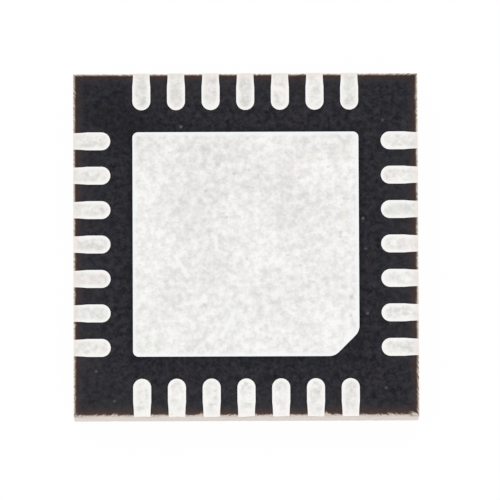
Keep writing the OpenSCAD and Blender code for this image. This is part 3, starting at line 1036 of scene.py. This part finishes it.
# %% [markdown]
# A dicing blade breaks tiny crumbs out of the brittle edges it leaves. To get them, a copy of the cast
# body is trimmed with a block that is a hair larger than the package and has ragged, broken edges, as a
# Boolean that keeps what lies in both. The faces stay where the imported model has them, and only the edges
# lose crumbs. The size of a crumb comes from two noises along the edge: a fine one everywhere, and a
# coarse one that bites deeper here and there. The front edge is the most ragged. The others lost about
# the same, but more evenly.

# %% Size of the crumbs
CHIPS_FRONT = (0.016, 0.035, 0.09)
CHIPS_ROUND = (0.034, 0.012, 0.02)
CHIPS_LOWER = (0.006, 0.03, 0.03)
FINE_PER_MM = 27
DEEP_PER_MM = 9
DEEP_THRESHOLD = 0.15
BLOCK_CLEAR = 0.0005
UPPER_SEED = 10.0
LOWER_SEED = 20.0


def chip_size(place, edge, seed):
    """How far the upper or lower edge is broken back at this place, in millimetres."""
    at_the_front = place.y < BLOCK_CLEAR - half_side
    around = CHIPS_FRONT if at_the_front else CHIPS_ROUND
    smallest, fine_share, deep_share = around if edge == "upper" else CHIPS_LOWER
    fine = abs(noise.noise(place * FINE_PER_MM + Vector((seed, 0, 0))))
    deep = max(0.0, noise.noise(place * DEEP_PER_MM + Vector((0, seed, 0))) - DEEP_THRESHOLD)
    return smallest + fine_share * fine + deep_share * deep


middle_of_front = chip_size(Vector((0, -half_side, 0)), "upper", UPPER_SEED)
print("crumb in the middle of the front edge:", round(middle_of_front, 3), "mm")

# %% [markdown]
# The block's skin is made of six loops of points round the package, three down each broken edge, joined
# by strips of triangles and closed by a flat face above and below. A triangle is always flat, so the
# Boolean meets no bent face.

# %% Ragged block
CHIP_STEP = 0.018
CHIP_SLOPE = 1.5
SLOPE_CHANGE = 0.6
HOLLOW = 0.55
HOLLOW_CHANGE = 0.15
HOLLOW_DROP = 0.3
CORNER_CUT = 0.01


def outline_places():
    """Places round the package's square outline, in order, with its corners slightly cut."""
    reach = half_side - CORNER_CUT
    count = round(2 * reach / CHIP_STEP)
    for side in range(4):
        turn = Matrix.Rotation(side * math.pi / 2, 3, "Z")
        for k in range(count + 1):
            yield turn @ Vector((reach * (2 * k / count - 1), -half_side, 0))


def chipped_rings(places, edge, level, inward, seed):
    """Three rings of points down one broken edge: on the face, in the hollow and on the side."""
    flat, middle, upright = [], [], []
    for place in places:
        size = chip_size(place, edge, seed)
        change = noise.noise(place * FINE_PER_MM + Vector((0, 0, seed)))
        drop = inward * size * (CHIP_SLOPE + SLOPE_CHANGE * change)
        hollow = HOLLOW + HOLLOW_CHANGE * noise.noise(place * FINE_PER_MM - Vector((0, 0, seed)))
        flat.append(place * (1 - size / half_side) + Vector((0, 0, level)))
        middle.append(place * (1 - hollow * size / half_side) + Vector((0, 0, level + HOLLOW_DROP * drop)))
        upright.append(place * (1 + BLOCK_CLEAR / half_side) + Vector((0, 0, level + drop)))
    return [flat, middle, upright]


def ragged_block(low, high):
    """A closed block round the package from low to high, with broken edges."""
    places = list(outline_places())
    count = len(places)
    upper = chipped_rings(places, "upper", high + BLOCK_CLEAR, -1, UPPER_SEED)
    lower = chipped_rings(places, "lower", low - BLOCK_CLEAR, 1, LOWER_SEED)
    loops = [*upper, *reversed(lower)]
    points = [point * MM for loop in loops for point in loop]
    last = (len(loops) - 1) * count
    faces = [tuple(range(count)), tuple(reversed(range(last, last + count)))]
    for ring in range(len(loops) - 1):
        for k in range(count):
            a, b = ring * count + k, ring * count + (k + 1) % count
            faces.append((b, a, a + count))
            faces.append((b, a + count, b + count))
    mesh = bpy.data.meshes.new("ragged block")
    mesh.from_pydata(points, [], faces)
    block = bpy.data.objects.new("ragged block", mesh)
    bpy.context.scene.collection.objects.link(block)
    print("ragged block:", count, "places round each edge")
    return block


block = ragged_block(0.0, mould_face)

# %% [markdown]
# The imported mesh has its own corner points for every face, so the copy is welded first: a Boolean needs a
# closed skin. It also leaves slivers behind, so the trimmed skin is cleaned and cut into triangles.

# %% Helpers for the trimmed body
WELD_GAP = 0.0002
CLEAN_GAP = 0.0003


def welded_copy(name, new_name):
    """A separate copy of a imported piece, with its doubled points merged."""
    mesh = bpy.data.meshes.new(new_name)
    work = bmesh.new()
    work.from_mesh(nodes[name].data)
    bmesh.ops.remove_doubles(work, verts=work.verts, dist=WELD_GAP * MM)
    work.to_mesh(mesh)
    work.free()
    made = bpy.data.objects.new(new_name, mesh)
    bpy.context.scene.collection.objects.link(made)
    return made


def trim(piece, tool):
    """Keeps what lies in both solids, and deletes the tool."""
    cut = piece.modifiers.new("trim", "BOOLEAN")
    cut.operation = "INTERSECT"
    cut.solver = "EXACT"
    cut.object = tool
    graph = bpy.context.evaluated_depsgraph_get()
    trimmed = bpy.data.meshes.new_from_object(piece.evaluated_get(graph))
    piece.modifiers.clear()
    piece.data = trimmed
    bpy.data.objects.remove(tool)


def clean_skin(piece):
    """Merges points that nearly touch, drops slivers, and cuts every face into triangles."""
    work = bmesh.new()
    work.from_mesh(piece.data)
    bmesh.ops.remove_doubles(work, verts=work.verts, dist=CLEAN_GAP * MM)
    bmesh.ops.dissolve_degenerate(work, edges=work.edges, dist=CLEAN_GAP * MM)
    bmesh.ops.triangulate(work, faces=work.faces)
    open_edges = [edge for edge in work.edges if len(edge.link_faces) != 2]
    print("trimmed skin:", len(work.faces), "triangles and", len(open_edges), "open edges")
    work.to_mesh(piece.data)
    work.free()


# %% [markdown]
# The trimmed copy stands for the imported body, which stays hidden in the frame for its collision. Its four
# sides get the sawn finish, and every other face the cast one. Faces stay flat, because a crumb has sharp
# edges.

# %% Sawn body
UPRIGHT = 0.1


def is_sawn(polygon):
    """Whether this face lies in a sawn side, or in a slightly cut corner between two of them."""
    place = polygon.center / MM
    at_the_side = max(abs(place.x), abs(place.y)) > half_side - CORNER_CUT
    return at_the_side and abs(polygon.normal.z) < UPRIGHT


sawn_body = welded_copy("mould_body", "sawn_mould_body")
trim(sawn_body, block)
clean_skin(sawn_body)
sawn_body.data.materials.clear()
sawn_body.data.materials.append(cast_finish)
sawn_body.data.materials.append(sawn_finish)
for polygon in sawn_body.data.polygons:
    polygon.use_smooth = False
    polygon.material_index = 1 if is_sawn(polygon) else 0
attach(sawn_body, "root")
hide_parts("mould_body")
sawn_faces = sum(polygon.material_index for polygon in sawn_body.data.polygons)
print("sawn body:", len(sawn_body.data.polygons), "faces,", sawn_faces, "of them sawn")

# %% [markdown]
# Now the finishes go onto the pieces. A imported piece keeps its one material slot, and the new material
# takes the place of the old.

# %% Dressing the pieces
def dress(name, material):
    """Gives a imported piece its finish."""
    materials = nodes[name].data.materials
    materials.clear()
    materials.append(material)


for name in LEADS:
    dress(name, lead_finish)
for name in WIRES:
    dress(name, gold_finish)
dress("die_paddle", pad_finish)
dress("die_attach", epoxy_finish)
dress("die", silicon_finish)
dress("mould_body", cast_finish)
print("dressed", len(nodes), "pieces")

# %% [markdown]
# Plating never ends in a knife edge: it rolls over the rim of each terminal, and that roll catches the
# light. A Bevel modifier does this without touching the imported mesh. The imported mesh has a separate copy
# of each corner for each face, so a Weld modifier joins them first.

# %% Rounded plating
ROLL = 0.016
ROLL_SEGMENTS = 3
SHARP_ANGLE = 50


def round_plating(piece):
    """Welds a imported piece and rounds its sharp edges."""
    weld = piece.modifiers.new("weld", "WELD")
    weld.merge_threshold = WELD_GAP * MM
    roll = piece.modifiers.new("rolled plating", "BEVEL")
    roll.width = ROLL * MM
    roll.segments = ROLL_SEGMENTS
    roll.limit_method = "ANGLE"
    roll.angle_limit = math.radians(SHARP_ANGLE)
    roll.harden_normals = True


for name in LEADS + ["die_paddle"]:
    round_plating(nodes[name])
print("rounded", len(LEADS) + 1, "plated pieces")
